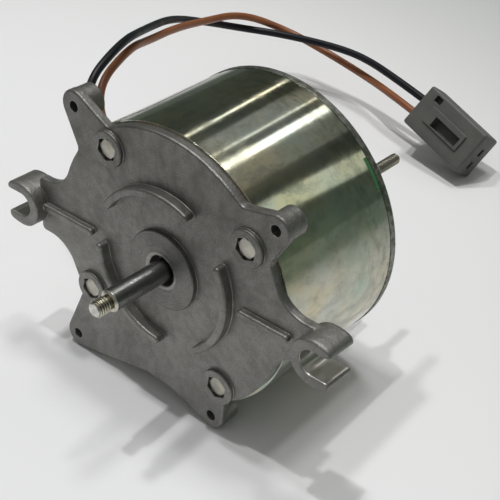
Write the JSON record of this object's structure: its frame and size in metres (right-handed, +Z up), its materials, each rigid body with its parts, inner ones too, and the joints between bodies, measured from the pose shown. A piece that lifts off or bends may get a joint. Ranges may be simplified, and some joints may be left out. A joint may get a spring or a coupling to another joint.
{
  "type": "dc motor",
  "caption": "Flat brushed direct current motor: cast front flange with lugs and open hooks, plated can, stepped shaft, and wire leads ending in a plug-in connector.",
  "frame": {"origin": "on the shaft axis, level with the front face of the flange plate", "axes": "+Y along the shaft axis from the drive end to the rear, +Z up, +X to the right seen from the drive end"},
  "size_m": [0.2153, 0.2411, 0.1098],
  "materials": {
    "cast_flange": "matte grey die casting",
    "plated_can": "bright zinc plated, drawn finish",
    "plated_plate": "bright zinc plated",
    "zinc_fastener": "zinc plated",
    "ground_steel": "ground and polished",
    "spring_steel": "dark spring steel",
    "bearing_steel": "polished",
    "bearing_cage": "pressed steel",
    "ferrite": "dull sintered ferrite",
    "spacer_plastic": "natural nylon",
    "core_steel": "stacked electrical sheet",
    "insulation": "red insulating sheet",
    "copper_wire": "enamelled copper",
    "phenolic": "moulded phenolic",
    "copper_bar": "turned copper",
    "carbon": "pressed carbon",
    "board": "green glass laminate",
    "brass_sheet": "folded sheet",
    "choke_ferrite": "ferrite rod",
    "capacitor_case": "dipped case",
    "rubber": "matte",
    "lead_black": "extruded insulation",
    "lead_brown": "extruded insulation",
    "connector": "moulded nylon",
    "tinned_contact": "tin plated"
  },
  "bodies": {
    "motor_body": {"front_flange": "cast_flange", "stator_can": "plated_can", "rear_plate": "plated_plate", "through_bolts": "zinc_fastener", "lock_nuts": "zinc_fastener", "front_bearing_outer_ring": "bearing_steel", "rear_bearing_outer_ring": "bearing_steel", "preload_washer": "spring_steel", "magnets": "ferrite", "magnet_spacers": "spacer_plastic", "brush_card": "board", "brush_spring_a": "spring_steel", "brush_spring_b": "spring_steel", "brush_holders": "brass_sheet", "choke_coils": "copper_wire", "choke_rods": "choke_ferrite", "capacitor": "capacitor_case", "lead_eyelets": "brass_sheet", "lead_tails": "tinned_contact", "lead_grommet": "rubber", "lead_black": "lead_black", "lead_brown": "lead_brown", "connector_housing": "connector", "wire_seals": "rubber", "connector_contacts": "tinned_contact"},
    "rotor": {"motor_shaft": "ground_steel", "retaining_ring": "spring_steel", "front_bearing_inner_ring": "bearing_steel", "rear_bearing_inner_ring": "bearing_steel", "rear_spacer": "ground_steel", "armature_core": "core_steel", "end_insulators": "insulation", "armature_winding": "copper_wire", "commutator_hub": "phenolic", "commutator_bars": "copper_bar"},
    "front_ball_set": {"front_bearing_balls": "bearing_steel", "front_bearing_cage": "bearing_cage"},
    "rear_ball_set": {"rear_bearing_balls": "bearing_steel", "rear_bearing_cage": "bearing_cage"},
    "brush_a": {"brush_a": "carbon"},
    "brush_b": {"brush_b": "carbon"}
  },
  "joints": [
    {"name": "rotor_spin", "type": "hinge", "parent": "motor_body", "child": "rotor", "pos_m": [0, 0, 0], "axis": [0, 1, 0], "continuous": true},
    {"name": "front_cage_spin", "type": "hinge", "parent": "motor_body", "child": "front_ball_set", "pos_m": [0, 0.0066, 0], "axis": [0, 1, 0], "continuous": true},
    {"name": "rear_cage_spin", "type": "hinge", "parent": "motor_body", "child": "rear_ball_set", "pos_m": [0, 0.06095, 0], "axis": [0, 1, 0], "continuous": true},
    {"name": "brush_a_slide", "type": "slide", "parent": "motor_body", "child": "brush_a", "axis": [0.1736, 0, 0.9848], "range_m": [0, 0.004], "stiffness_N_per_m": 200, "springref_m": -0.01, "deforming": ["brush_spring_a"]},
    {"name": "brush_b_slide", "type": "slide", "parent": "motor_body", "child": "brush_b", "axis": [-0.9848, 0, 0.1736], "range_m": [0, 0.004], "stiffness_N_per_m": 200, "springref_m": -0.01, "deforming": ["brush_spring_b"]}
  ],
  "couplings": [
    {"joint": "front_cage_spin", "follows": "rotor_spin", "ratio": 0.3633},
    {"joint": "rear_cage_spin", "follows": "rotor_spin", "ratio": 0.3633}
  ]
}
